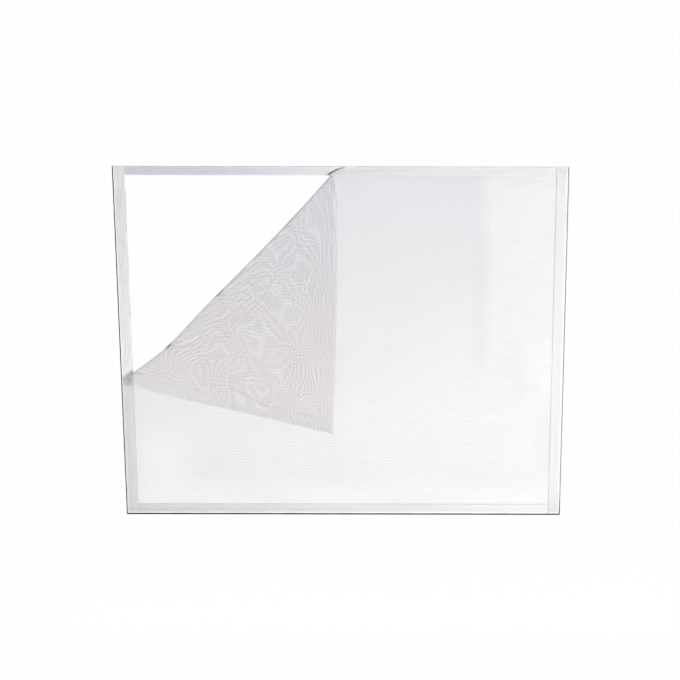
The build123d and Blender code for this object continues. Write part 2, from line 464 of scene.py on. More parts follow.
def fold_distance(s):
    """How far the fold's outer edge lies from the net's corner, square to the fold.

    A straight line, drawn inwards along most of its length and outwards at both ends.
    """
    from_left = np.maximum(s, 0)
    sag = FOLD_DRAW * (1 - np.exp(-from_left / FOLD_DRAW_RUN)) - FOLD_LEFT_REACH
    rise = FOLD_UPPER_REACH * from_left**FOLD_UPPER_POWER
    return PEEL / ROOT_TWO + sag + fold_dip(s) - rise


def fold_dip(s):
    """How far the fold dips inwards near its left end: a bell along the fold."""
    return FOLD_DIP * bump_at(s, FOLD_DIP_PLACE, FOLD_DIP_LENGTH)


def bend_axis(u, v):
    """How far the bend's axis lies from the net's corner, square to the fold."""
    return fold_distance(fold_place(u, v)) + BEND_RADIUS


def laid(u, v):
    """Where a point of the flat net lies on the screen.

    h is the distance from the corner square to the fold, and g the distance along it. Beyond the bend's
    axis the net stays where it is. Over the bend it follows a half circle: axis - r cos(q / r) square to the
    fold and r (1 - sin(q / r)) to the front. Before the bend it lies folded over as a flap, mirrored at the
    axis. Shifts and waves then give the flap and the panel their soft form.
    """
    u, v = gathered(u, v)
    h = (u + v) / ROOT_TWO
    g = (u - v) / ROOT_TWO
    axis = bend_axis(u, v)
    q = h - axis + HALF_BEND
    turn = np.clip(q, -HALF_BEND, HALF_BEND) / BEND_RADIUS
    beyond = np.maximum(np.abs(q) - HALF_BEND, 0)
    flap_run = np.where(q < 0, beyond, 0)
    square = axis - BEND_RADIUS * np.cos(turn) + beyond
    across = (square + g) / ROOT_TWO
    down = (square - g) / ROOT_TWO
    depth = PANEL_DEPTH + BEND_RADIUS * (1 - np.sin(turn))
    for share, (to_right, downwards) in flap_shifts(u, v, flap_run, axis):
        across = across + share * to_right
        down = down + share * downwards

    flap_ease = eased(flap_run, *FLAP_WAVES_FROM_FOLD)
    edge = np.minimum(np.minimum(u, NET_WIDTH - u), np.minimum(v, NET_HEIGHT - v))
    panel_ease = eased(edge, *PANEL_WAVES_FROM_EDGE) * eased(u + v, *PANEL_WAVES_FROM_CORNER)
    across_ease = flap_ease * eased(v, *FLAP_WAVES_FROM_EDGE)
    down_ease = flap_ease * eased(u, *FLAP_WAVES_FROM_EDGE)
    across = across + across_ease * waves(u, v, FLAP_ACROSS_WAVES)
    across = across + panel_ease * waves(u, v, PANEL_ACROSS_WAVES)
    down = down + down_ease * waves(u, v, FLAP_DOWN_WAVES)
    down = down + panel_ease * waves(u, v, PANEL_DOWN_WAVES)
    depth = depth + (flap_ease + panel_ease) * waves(u, v, DEPTH_WAVES)
    depth = depth - FLAP_SETTLE * (1 - np.exp(-flap_run / FLAP_SETTLE_RUN))
    return np.stack([NET_LEFT + across, -depth, NET_TOP - down], axis=-1)


def flap_shifts(u, v, flap_run, axis):
    """How the peeled corner leaves a plain fold: shares of shifts, each with its way across and down.

    The flap is drawn out to its tip in proportion to the distance from the fold, most of all along its
    edges, and its threads crowd towards both free edges. The fold's dip fades out over the flap. The flap
    sags at its left end and its right edge bulges. At the fold's upper end the net is drawn down and left.
    """
    pull = flap_run / (axis - 2 * HALF_BEND)
    tip_share = pull * (1 - EDGE_PULL * u * v / PEEL**2)
    dip = ROOT_TWO * fold_dip(fold_place(u, v)) * eased(flap_run, *DIP_FADE)

    from_left_end = np.maximum(PEEL - END_INSET - v, 0)
    sag = (1 - np.exp(-flap_run / LEFT_SAG_ONSET)) * np.exp(-u / LEFT_SAG_ACROSS)
    sag = sag * np.exp(-from_left_end / LEFT_SAG_UP)

    from_upper_end = np.clip((PEEL - END_INSET - u) / PEEL, 0, 1)
    bulge = (1 - np.exp(-from_upper_end / BULGE_ONSET)) * (1 - from_upper_end**BULGE_POWER)
    bulge = np.where(flap_run > 0, bulge * np.exp(-v / BULGE_REACH), 0)

    drawn = np.exp(-np.hypot(u - FOLD_TOP, v) / UPPER_DRAW_REACH)
    return [
        (tip_share, TIP_PULL),
        (pull * v / PEEL, RIGHT_CROWDING),
        (pull * u / PEEL, LOWER_CROWDING),
        (dip, (-1, -1)),
        (sag, LEFT_SAG),
        (bulge, EDGE_BULGE),
        (drawn, UPPER_DRAW),
    ]


def over_flap(u, v):
    """1 on the flap and 0 on the panel, with a ramp across the bend."""
    from_bend_middle = (u + v) / ROOT_TWO - bend_axis(u, v) + HALF_BEND
    return eased(from_bend_middle, HALF_BEND, -HALF_BEND)


def dark_marks_and_shade(u, v):
    """Dark marks that follow the net: three short stretches of the fold, and painted shade beside the right
    tape.
    """
    from_bend_middle = (u + v) / ROOT_TWO - bend_axis(u, v) + HALF_BEND
    place = fold_place(u, v)
    marks = sum(strength * bump_at(place, middle, length) for strength, middle, length in FOLD_MARKS)
    beside_tape = TAPE_SHADE * bump_at(u, RIGHT_TAPE_EDGE - MM, TAPE_SHADE_WIDTH)
    return np.clip(marks * bump_at(from_bend_middle, 0, FOLD_MARK_WIDTH) + beside_tape, 0, 1)


def hem(u, v, upright):
    """1 on the flap's strip that the left tape held, and less on part of the strip that the top tape held.

    The strip's threads along the tape alone carry it: upright ones at the left and level ones at the top.
    """
    held = u < LEFT_TAPE_EDGE if upright else RIGHT_HEM * (v < TOP_TAPE_EDGE) * eased(u, *RIGHT_HEM_STRETCH)
    return over_flap(u, v) * held


def tube_faces(tubes, rings, sides):
    """The side quads and both end caps of closed tubes whose points run tube by tube, ring by ring."""
    index = np.arange(tubes * rings * sides).reshape(tubes, rings, sides)
    low, high = index[:, :-1], index[:, 1:]
    walls = np.stack([low, np.roll(low, -1, axis=2), np.roll(high, -1, axis=2), high], axis=-1)
    return [walls.reshape(-1, 4), index[:, 0, ::-1], index[:, -1]]


def crossing_points(fixed, axis, before):
    """Where threads at these places meet a line that lies a given distance before the bend's axis.

    The fold bends, so the meeting point is found by setting it anew a few times.
    """
    met = PEEL - fixed
    for _ in range(8):
        met = ROOT_TWO * (axis(fixed, met) - before) - fixed
    return met


def thread_stations(fixed, first, last, axis):
    """Places along threads at which they are bent, dense over the bend for those that cross the fold.

    Returns the threads that cross and the plain ones, each as its fixed places and its stations along.
    """
    flap_end = crossing_points(fixed, axis, 2 * HALF_BEND)
    bend_end = crossing_points(fixed, axis, 0)
    crosses = bend_end > first + SHORTEST_CROSSING
    short_flap = first + SHORT_FLAP_SHARE * (bend_end - first)
    start = np.where(flap_end > first + SHORTEST_FLAP, flap_end, short_flap)[crosses][:, None]
    end = bend_end[crosses][:, None]
    flap = first + (start - first) * np.linspace(0, 1, FLAP_RUNS + 1)
    bend = start + (end - start) * np.linspace(0, 1, BEND_RUNS + 1)[1:]
    panel = end + (last[crosses][:, None] - end) * np.linspace(0, 1, PANEL_RUNS + 1)[1:]
    plain = first + (last[~crosses][:, None] - first) * np.linspace(0, 1, PLAIN_RUNS + 1)
    return [(fixed[crosses], np.concatenate([flap, bend, panel], axis=1)), (fixed[~crosses], plain)]


def threads(fixed, along, upright):
    """Closed four-sided threads through stations on the net: an oblong section carried along each path."""
    fixed = np.broadcast_to(fixed[:, None], along.shape)
    u, v = (fixed, along) if upright else (along, fixed)
    to_right = laid(u + SLOPE_STEP, v) - laid(u - SLOPE_STEP, v)
    downwards = laid(u, v + SLOPE_STEP) - laid(u, v - SLOPE_STEP)
    front = unit(np.cross(downwards, to_right))
    run = unit(downwards if upright else to_right)
    side = np.cross(front, run)
    middle = laid(u, v) + front * (THREAD_LIFT if upright else -THREAD_LIFT)
    sideways = THREAD_SECTION[:, :1] * THREAD_WIDTH
    forwards = THREAD_SECTION[:, 1:] * THREAD_THICKNESS
    points = middle[:, :, None] + sideways * side[:, :, None] + forwards * front[:, :, None]

    sides = len(THREAD_SECTION)
    spread = (np.arange(sides) - (sides - 1) / 2) / sides * THREAD_PITCH
    flat_u = u[..., None] + (spread if upright else 0 * spread)
    flat_v = v[..., None] + (0 * spread if upright else spread)
    flat = np.stack([flat_u / NET_WIDTH, 1 - flat_v / NET_HEIGHT], axis=-1)
    paint = {
        "dark_marks_and_shade": np.repeat(dark_marks_and_shade(u, v)[..., None], sides, axis=-1),
        "flap": np.repeat(over_flap(u, v)[..., None], sides, axis=-1),
        "hem": np.repeat(hem(u, v, upright)[..., None], sides, axis=-1),
        "upright": np.full(points.shape[:3], float(upright)),
    }
    return points, tube_faces(*points.shape[:3]), flat, paint


def new_piece(name, parts, finish, rounded):
    """One mesh object from parts, each an array of points with its faces, flat places and point values."""
    points = np.concatenate([part[0].reshape(-1, 3) for part in parts])
    flat = np.concatenate([part[2].reshape(-1, 2) for part in parts])
    starts = np.cumsum([0] + [part[0].size // 3 for part in parts])
    faces = [rows + first for part, first in zip(parts, starts) for rows in part[1]]
    corners = np.concatenate([rows.ravel() for rows in faces]).astype(np.int32)
    sizes = np.concatenate([np.full(len(rows), rows.shape[1]) for rows in faces])

    mesh = bpy.data.meshes.new(name)
    mesh.vertices.add(len(points))
    mesh.vertices.foreach_set("co", points.astype(np.float32).ravel())
    mesh.loops.add(len(corners))
    mesh.loops.foreach_set("vertex_index", corners)
    mesh.polygons.add(len(sizes))
    mesh.polygons.foreach_set("loop_start", (np.cumsum(sizes) - sizes).astype(np.int32))
    mesh.polygons.foreach_set("use_smooth", np.full(len(sizes), rounded))
    mesh.update(calc_edges=True)
    bake_map = mesh.uv_layers.new(name=BAKE_MAP)
    bake_map.uv.foreach_set("vector", flat[corners].astype(np.float32).ravel())
    for label in parts[0][3]:
        values = np.concatenate([part[3][label].ravel() for part in parts])
        layer = mesh.attributes.new(label, "FLOAT", "POINT")
        layer.data.foreach_set("value", values.astype(np.float32))
    mesh.materials.append(finish)

    piece = bpy.data.objects.new(name, mesh)
    bpy.context.scene.collection.objects.link(piece)
    return piece


def make_net(finish):
    """The net: upright and level threads at an even pitch, cut straight and a little frayed at the bottom."""
    def places(first, length):
        count = int(length / THREAD_PITCH)
        return first + np.arange(count) * THREAD_PITCH + random.uniform(-1, 1, count) * THREAD_JITTER

    uprights, levels = places(UPRIGHT_START, FLAT_WIDTH), places(LEVEL_START, FLAT_HEIGHT)
    fray = FRAY * random.uniform(LEAST_FRAY, 1, uprights.size) * (uprights < RIGHT_TAPE_EDGE)
    right_ends = np.full(levels.size, NET_WIDTH - SIDE_TRIM)
    parts = []
    for fixed, along in thread_stations(uprights, 0, FLAT_HEIGHT + fray, bend_axis):
        parts.append(threads(fixed, along, True))
    for fixed, along in thread_stations(levels, SIDE_TRIM, right_ends, lambda v, u: bend_axis(u, v)):
        parts.append(threads(fixed, along, False))
    net = new_piece("net_of_threads", parts, finish, True)
    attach(net, "root")
    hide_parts("insect_net")
    return net


def ribbon_profile(width):
    """The ribbon's section, a closed loop: flat back, thick selvedges and a low rib under each hook row."""
    half = width / 2
    selvedge = [(half, RIBBON_EDGE), (half - RIBBON_BEVEL, RIBBON_BASE), (half - SELVEDGE_FLAT, RIBBON_BASE)]
    field = (half - SELVEDGE_WIDTH, RIBBON_FIELD)
    rows = hook_rows(width)[::-1, None] + np.array([RIB_FOOT, RIB_CROWN, -RIB_CROWN, -RIB_FOOT])
    ribs = np.tile([RIBBON_FIELD, RIB_DEPTH, RIB_DEPTH, RIBBON_FIELD], len(rows))
    front = [*selvedge, field, *zip(rows.ravel(), ribs)]
    mirrored = [(-across, depth) for across, depth in [field, *selvedge[::-1]]]
    return np.array([(-half, 0), (half, 0), *front, *mirrored])


def hook_rows(width):
    """The rows' places across the ribbon."""
    count = int(round((width - 2 * SELVEDGE_WIDTH) / HOOK_ROW_PITCH))
    return (np.arange(count) - (count - 1) / 2) * HOOK_ROW_PITCH


def hook_rings():
    """One hook: a three-sided rod along a stem that bends over in a half circle and ends in a short tip.

    Rows are rings along the rod, with each point's place across, along and in front of the ribbon.
    """
    crook = HOOK_RADIUS + CROOK_GAP
    crook_height = HOOK_HEIGHT - crook - HOOK_RADIUS
    angles = np.radians([180, 120, 60, 0])
    arc = np.stack([crook + crook * np.cos(angles), crook_height + crook * np.sin(angles)], axis=-1)
    path = np.array([(0, -HOOK_ROOT), *arc, (2 * crook, crook_height - HOOK_TIP)])
    run = unit(np.gradient(path, axis=0))
    square = np.stack([run[:, 1], -run[:, 0]], axis=-1)
    turn = np.radians([90, 210, 330])
    rings = path[:, None] + HOOK_RADIUS * np.cos(turn)[:, None] * square[:, None]
    beside = np.broadcast_to(HOOK_RADIUS * np.sin(turn), rings.shape[:2])
    return np.stack([rings[..., 0], beside, rings[..., 1]], axis=-1)


def hooks(length, width):
    """Rows of hooks at an even spacing, each turned, leant and drawn up or down by a little."""
    rows = hook_rows(width)
    count = int(length / HOOK_SPACING) - 1
    along, across = np.meshgrid((np.arange(count) + 1) * HOOK_SPACING, rows)
    facing = np.broadcast_to(np.where(np.arange(rows.size) % 2 == 0, 0, math.pi)[:, None], along.shape)
    each = (along.size, 1, 1)
    along = along.reshape(each) + random.uniform(-HOOK_STRAY_ALONG, HOOK_STRAY_ALONG, each)
    across = across.reshape(each) + random.uniform(-HOOK_STRAY_ACROSS, HOOK_STRAY_ACROSS, each)
    turn = facing.reshape(each) + random.normal(0, HOOK_TWIST, each)
    lean_across, lean_along = random.normal(0, HOOK_LEAN, (2, *each))
    stretch = random.uniform(*HOOK_STRETCH, each)
    reach, beside, up = np.moveaxis(hook_rings(), -1, 0)
    up = up * stretch
    local_across = reach * np.cos(turn) - beside * np.sin(turn) + up * lean_across
    local_along = reach * np.sin(turn) + beside * np.cos(turn) + up * lean_along
    return np.stack([along + local_along, across + local_across, HOOK_FOOT + up], axis=-1)


def make_ribbon(side, finish):
    """One length of hook tape: a ribbon whose edges wander a little, with separate hooks standing on it."""
    low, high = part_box(f"hook_tape_{side}")
    upright = side in ("left", "right")
    bottom = low.z if side == "top" else low.z + FOAM_BELOW
    length = (high.z - bottom) if upright else (high.x - low.x - 2 * SEAM)
    width = (high.x - low.x) if upright else (high.z - bottom)
    base_depth = -high.y

    profile = ribbon_profile(width)
    along = np.linspace(0, length, int(length / RIBBON_STEP) + 1)
    wander = RIBBON_WANDER * np.sin(along / LONG_WANDER) * np.sin(along / SHORT_WANDER + 1)
    ribbon = np.empty((1, along.size, len(profile), 3))
    ribbon[..., 0] = along[:, None]
    ribbon[..., 1] = profile[:, 0] + wander[:, None]
    ribbon[..., 2] = profile[:, 1]
    standing = hooks(length, width)

    def placed(points):
        """Turns along, across and depth into the frame's axes without mirroring."""
        run, across, depth = points[..., 0], points[..., 1], base_depth + points[..., 2]
        if upright:
            return np.stack([(low.x + high.x) / 2 - across, -depth, bottom + run], axis=-1)
        return np.stack([low.x + SEAM + run, -depth, (bottom + high.z) / 2 + across], axis=-1)

    def flat_place(points, offset):
        """Shares along and across the flat ribbon, its two back edges set off by themselves."""
        across = 0.5 + (points[..., 1] + offset) / (BAKE_SPREAD * width)
        return np.stack([points[..., 0] / length, across], axis=-1)

    def outwards(points):
        """How far a point lies towards the frame's outer edge: 1 on it and -1 on the inner edge."""
        return {"outwards": points[..., 1] / (width / 2) * (1 if side in ("left", "top") else -1)}

    back_offset = np.zeros(len(profile))
    back_offset[:2] = (-BAKE_BACK_OFFSET, BAKE_BACK_OFFSET)
    parts = [
        (placed(points), tube_faces(*points.shape[:3]), flat_place(points, offset), outwards(points))
        for points, offset in ((ribbon, back_offset), (standing, 0))
    ]
    piece = new_piece(f"hook_ribbon_{side}", parts, finish, False)
    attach(piece, "root")
    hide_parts(f"hook_tape_{side}")
    return piece


class Value:
    """A number at each point of a surface, held as a socket. Its operators add Math nodes."""

    def __init__(self, nodes, socket):
        self.nodes = nodes
        self.socket = socket

    def maths(self, operation, first, second):
        return self.nodes.add("Math", {"operation": operation}, {0: first, 1: second})

    def __add__(self, other):
        return self.maths("ADD", self, other)

    def __radd__(self, other):
        return self.maths("ADD", other, self)

    def __sub__(self, other):
        return self.maths("SUBTRACT", self, other)

    def __rsub__(self, other):
        return self.maths("SUBTRACT", other, self)

    def __mul__(self, other):
        return self.maths("MULTIPLY", self, other)

    def __rmul__(self, other):
        return self.maths("MULTIPLY", other, self)

    def __truediv__(self, other):
        return self.maths("DIVIDE", self, other)

    def held(self):
        """The same number held between 0 and 1."""
        return self.nodes.add("Clamp", {}, {"Value": self})

    def ramp(self, start, end):
        """0 up to start, 1 from end on, and in proportion between them. Start may be the greater."""
        return ((self - start) / (end - start)).held()

    def wave(self):
        """The cosine of the number taken as whole turns."""
        return self.nodes.add("Math", {"operation": "COSINE"}, {0: self * FULL_TURN})


class Nodes:
    """A node tree under construction."""

    def __init__(self, tree):
        self.tree = tree

    def add(self, kind, settings, inputs, output=0):
        """A node of this kind with its settings, then its inputs as numbers, colours or linked values."""
        node = self.tree.nodes.new("ShaderNode" + kind)
        for name, setting in settings.items():
            setattr(node, name, setting)
        for name, given in inputs.items():
            self.feed(node.inputs[name], given)
        return Value(self, node.outputs[output])

    def feed(self, socket, given):
        """Links a value to a socket or sets the socket to a plain number or colour."""
        if isinstance(given, Value):
            self.tree.links.new(given.socket, socket)
        elif isinstance(given, tuple) and len(given) == 3 and socket.type == "RGBA":
            socket.default_value = (*given, 1)
        else:
            socket.default_value = given

    def mix(self, share, first, second):
        """A colour between two, through a Mix node."""
        return self.add("Mix", {"data_type": "RGBA"}, {0: share, 6: first, 7: second}, 2)

    def tint(self, colour, mask, tone):
        """A colour with a tone laid over it where the mask is, no more of it than the tone allows."""
        most, tone_colour = tone
        return self.mix(most * mask, colour, tone_colour)

    def noise(self, place, scale, detail=2.0):
        """Soft noise about one half."""
        return self.add("TexNoise", {}, {"Vector": place, "Scale": scale, "Detail": detail})

    def grain(self, place, scales, detail=2.0):
        """Soft noise with a scale of its own along each axis."""
        return self.noise(self.add("Mapping", {}, {"Vector": place, "Scale": scales}), 1.0, detail)

    def attribute(self, label):
        """A point value of the mesh."""
        return self.add("Attribute", {"attribute_name": label}, {}, 2)

    def object_place(self):
        """The place on the piece, in metres."""
        return self.add("TexCoord", {}, {}, 3)

    def axis(self, place, index):
        """One axis of a place."""
        return self.add("SeparateXYZ", {}, {"Vector": place}, index)

    def across_and_up(self, place):
        """How far a place lies to the right of the screen's middle, and how high."""
        return self.axis(place, 0), self.axis(place, 2)


def new_finish(name):
    """A material with its nodes and its main shader."""
    material = bpy.data.materials.new(name)
    material.use_nodes = True
    tree = material.node_tree
    return material, Nodes(tree), tree.nodes["Principled BSDF"].inputs


def finish_surface(nodes, shader, colour, roughness, bump):
    """Feeds a shader its colour, its roughness and its bump, each of the last two with its pattern."""
    (least, gain), rough_pattern = roughness
    (strength, height), bump_pattern = bump
    nodes.feed(shader["Base Color"], colour)
    nodes.feed(shader["Roughness"], least + gain * rough_pattern)
    raised = nodes.add("Bump", {}, {"Strength": strength, "Distance": height, "Height": bump_pattern})
    nodes.feed(shader["Normal"], raised)


def beside_line(nodes, place, first, last):
    """How far a place lies along a line, as a share of its length, and how far beside it."""
    start, end = (Vector((NET_LEFT + right * MM, NET_TOP - down * MM)) for right, down in (first, last))
    length, run = (end - start).length, (end - start).normalized()
    across, height = nodes.across_and_up(place)
    right, up = across - start.x, height - start.y
    return (right * run.x + up * run.y) / length, right * run.y - up * run.x


def pressed_line(nodes, place):
    """How dark the pressed line is: a thin line from point to point, each stretch with its own darkness."""
    total = 0.0
    for first, last, darkness in zip(PRESSED_LINE, PRESSED_LINE[1:], PRESSED_DARKNESS):
        along, beside = beside_line(nodes, place, first, last)
        beside = beside / PRESSED_WIDTH
        ends = along.ramp(*PRESSED_START) * along.ramp(*PRESSED_END)
        total = darkness * (PRESSED_EDGE - beside * beside).held() * ends + total
    return total


def top_mark(nodes, place):
    """The dark stroke of painted shade under the lifted net at the fold's upper end.

    It is 1 on its line and fades along it and to both sides.
    """
    along, beside = beside_line(nodes, place, *TOP_MARK)
    bow = TOP_MARK_BOW * along * (1 - along)
    beside = (beside + bow) / (TOP_MARK_WIDTH + TOP_MARK_WIDENING * along)
    line = (TOP_MARK_EDGE - TOP_MARK_EDGE * beside * beside).held()
    ends = along.ramp(*TOP_MARK_START) * along.ramp(*TOP_MARK_END)
    return line * ends * (1 - TOP_MARK_FADING * along)


def fold_end_shade(nodes, place):
    """Speckled painted shade under the lifted net where the fold ends on the left tape.

    It has a slanted upper edge and a thin line.
    """
    across, height = nodes.across_and_up(place)
    right = (across - NET_LEFT) / MM - FOLD_END_SHADE_MIDDLE[0]
    up = (height - NET_TOP) / MM + FOLD_END_SHADE_MIDDLE[1]
    inside = (up - FOLD_END_SHADE_SLANT * right).ramp(*FOLD_END_SHADE_TOP)
    inside = inside * up.ramp(*FOLD_END_SHADE_BOTTOM) * right.ramp(*FOLD_END_SHADE_RIGHT)
    speckle = nodes.noise(place, SPECKLE_SCALE, 0.0).ramp(*SPECKLE_STEP)
    off_line = up - FOLD_END_SHADE_LINE
    line = (FOLD_END_SHADE_LINE_EDGE - off_line * off_line).held()
    line = line * right.ramp(*FOLD_END_SHADE_LINE_START) * right.ramp(*FOLD_END_SHADE_LINE_END)
    return (inside * (FOLD_END_SHADE_GROUND + SPECKLE * speckle) + line).held()


def over_tape(nodes, place):
    """1 where the net lies on a tape and 0 on the open part, with a short ramp between."""
    across, height = nodes.across_and_up(place)
    right, down = across - NET_LEFT, NET_TOP - height
    at_left = right.ramp(LEFT_TAPE_EDGE, LEFT_TAPE_EDGE - MM)
    at_right = right.ramp(RIGHT_TAPE_EDGE, RIGHT_TAPE_EDGE + MM)
    at_top = down.ramp(TOP_TAPE_EDGE, TOP_TAPE_EDGE - MM)
    at_bottom = down.ramp(BOTTOM_TAPE_EDGE, BOTTOM_TAPE_EDGE + MM)
    return (at_left + at_right + at_top + at_bottom).held()


def level_lines(nodes, place):
    """Faint level lines in patches low on the panel, fading to the right: waves of -1 to 1.

    The cosine of the height in lines, bent by soft noise. The level threads alone carry them.
    """
    across, height = nodes.across_and_up(place)
    turns = height / LINE_PITCH + LINE_BEND * nodes.noise(place, LINE_BEND_SCALE, 1.0)
    patches = nodes.grain(place, LINE_PATCH_SCALE).ramp(*LINE_PATCHES)
    shown = patches * height.ramp(*LINES_UP) * across.ramp(*LINES_ACROSS)
    return turns.wave() * shown * (1 - nodes.attribute("upright"))


def watered(nodes, place):
    """Fine waves on the flap, where two layers of net lie: 0 on a light line and 1 on a dark one.

    One half minus half the cosine of the place in waves, bent to and fro by soft noise. The net's upright
    threads lie level on the flap and carry the waves to the left, and the others carry them to the right.
    """
    across, height = nodes.across_and_up(place)
    level = nodes.attribute("upright")
    bend = WAVE_BEND * nodes.noise(place, WAVE_BEND_SCALE)
    turns = (across + level * (height - across)) / WAVE_PITCH + bend
    at_right = RIGHT_WAVES * across.ramp(*RIGHT_WAVES_STRETCH)
    at_left = 1 - LEFT_WAVES_LOSS * across.ramp(*LEFT_WAVES_STRETCH)
    share = (at_right + level * (at_left - at_right)) * (1 - nodes.attribute("hem"))
    return 0.5 - 0.5 * share * turns.wave()


def panel_colour(nodes, place, upper):
    """The panel's threads: aged white with slubs, painted shade to the left, faint level lines and a crease.

    They have painted light along the lower edge, are lighter in the lower left corner, and have painted shade
    towards the top, where it is cool, and in the crease.
    """
    across, height = nodes.across_and_up(place)
    slubs = nodes.grain(place, SLUB_SCALE).ramp(*SLUB_STEP)
    lines = level_lines(nodes, place)
    colour = nodes.mix(nodes.noise(place, AGEING_SCALE, 3.0), FRESH_THREAD, AGED_THREAD)
    colour = nodes.tint(colour, slubs, DARK_SLUBS)
    colour = nodes.tint(colour, 1 - slubs, LIGHT_SLUBS)
    # Painted shade: darker towards the left
    colour = nodes.tint(colour, across.ramp(*LEFT_PART), PAINTED_LEFT_SHADE)
    colour = nodes.tint(colour, lines.held(), DARK_LINES)
    colour = nodes.tint(colour, (-1 * lines).held(), LIGHT_LINES)

    # Painted light along the lower edge; the lower left corner is made lighter too
    near_bottom = height.ramp(*BOTTOM_PART)
    near_corner = across.ramp(*CORNER_ACROSS) * height.ramp(*CORNER_UP)
    lightened = PAINTED_BOTTOM_LIGHT * near_bottom + CORNER_LIGHTENING * near_corner * (1 - near_bottom)
    colour = nodes.mix(lightened, colour, LIGHT_THREAD)

    # Painted shade along the crease
    off_crease = (across - CREASE_MIDDLE) / CREASE_HALF_WIDTH
    crease = (1 - off_crease * off_crease).held()
    crease = crease * height.ramp(*CREASE_LOWER_FADE) * height.ramp(*CREASE_UPPER_FADE)
    colour = nodes.tint(colour, crease, CREASE_PAINTED_SHADE)

    left_gain = SHADE_GAIN_LEFT * across.ramp(*LEFT_OF_CREASE)
    right_loss = SHADE_LOSS_RIGHT * across.ramp(*RIGHT_OF_CREASE)
    beside_crease = SHADE_AT_CREASE + left_gain - right_loss
    shade = SHADE * height.ramp(*SHADED_PART) * beside_crease
    return nodes.mix(shade, colour, nodes.mix(upper, SHADED_LOW, SHADED_HIGH))


def net_finish():
    """White spun thread: aged panel, warm flap with watered lines, dark marks and painted shade.

    The strips that lie on the tapes are made lighter by painted light.
    """
    material, nodes, shader = new_finish("white_net_thread")
    place = nodes.object_place()
    across, height = nodes.across_and_up(place)
    upper = height.ramp(*UPPER_PART)
    over = nodes.attribute("flap")
    # Painted shade: the flap cooler and a little darker towards the top
    flap = nodes.mix(upper, FLAP_LOW, FLAP_HIGH)
    flap = nodes.mix(watered(nodes, place), flap, WATERED_DARK)
    flap = nodes.tint(flap, nodes.attribute("hem"), HEM_TONE)
    # Painted light on the threads that lie on the tapes
    on_tape = nodes.mix(across.ramp(*TAPE_TO_RIGHT), ON_LEFT_TAPE, ON_RIGHT_TAPE)
    on_tape = nodes.mix(upper, on_tape, ON_UPPER_TAPE)

    thread = panel_colour(nodes, place, upper)
    thread = nodes.mix(over_tape(nodes, place), thread, on_tape)
    thread = nodes.mix(over, thread, flap)
    # Painted shade where the lifted net ends on the left tape
    thread = nodes.tint(thread, fold_end_shade(nodes, place), NET_FOLD_END_SHADE)
    # Dark marks along the fold and the pressed line, and painted shade beside the right tape and at the
    # fold's top
    marks_and_shade = nodes.attribute("dark_marks_and_shade") + top_mark(nodes, place) + over * pressed_line(nodes, place)
    thread = nodes.mix(marks_and_shade.held(), thread, NET_DARK_MARKS_AND_SHADE)
    fibres = nodes.noise(place, FIBRE_SCALE)
    finish_surface(nodes, shader, thread, (FIBRE_ROUGHNESS, fibres), (FIBRE_BUMP, fibres))
    return material


def left_tape_shade_share(nodes, place):
    """How much painted shade darkens the left tape: most on the upper stretch that the net has left bare."""
    height = nodes.axis(place, 2)
    return height.ramp(*LEFT_BARE) * (LEFT_TAPE_SHADE + LEFT_TAPE_SHADE_GAIN * height.ramp(*LEFT_TAPE_SHADE_UP))


def left_tape_marks(nodes, place, colour, outwards):
    """Painted shade under the lifted net at the fold's end, a grey stripe under the net and a bare outer
    edge.
    """
    # Painted shade under the lifted net at the fold's end
    colour = nodes.tint(colour, fold_end_shade(nodes, place), TAPE_FOLD_END_SHADE)
    stripe = outwards.ramp(*STRIPE_OUTER) * outwards.ramp(*STRIPE_INNER)
    colour = nodes.tint(colour, stripe * nodes.axis(place, 2).ramp(*LEFT_UNDER_NET), LEFT_STRIPE)
    return nodes.mix(outwards.ramp(*OUTER_EDGE), colour, BARE_SELVEDGE)


def right_tape_marks(nodes, place, colour, outwards):
    """An even shade, a dark line along the inner edge below the corner, and an outer edge greyed by painted
    shade.
    """
    corner = NET_TOP - TOP_TAPE_EDGE
    below_corner = nodes.axis(place, 2).ramp(corner, corner - MM)
    colour = nodes.mix(RIGHT_SHADE, colour, SHADED_TAPE)
    colour = nodes.tint(colour, outwards.ramp(*INNER_EDGE) * below_corner, (RIGHT_INNER_LINE, INNER_LINE))
    # Painted shade: the outer edge greyed
    return nodes.mix(outwards.ramp(*RIGHT_OUTER_EDGE), colour, RIGHT_EDGE_PAINTED_SHADE)


def top_tape_marks(nodes, place, colour, outwards):
    """Painted shade on the stretch left bare, painted light on the right half, the stroke and a shaded outer
    edge.

    The dark stroke is painted shade under the lifted net.
    """
    across = nodes.axis(place, 0)
    bare = TOP_SHADE_UNDER_NET + (1 - TOP_SHADE_UNDER_NET) * across.ramp(*TOP_BARE)
    # Painted shade: the top tape darker towards the left
    colour = nodes.tint(colour, across.ramp(*TOP_SHADE_STRETCH) * bare, TOP_TAPE_SHADE)
    # Painted light on the right half
    colour = nodes.tint(colour, across.ramp(*TOP_PAINTED_LIGHT_STRETCH), TOP_PAINTED_LIGHT)
    # Painted shade: the stroke under the lifted net
    colour = nodes.mix(top_mark(nodes, place), colour, TAPE_PAINTED_SHADE)
    return nodes.tint(colour, outwards.ramp(*OUTER_EDGE), TOP_EDGE_TONE)


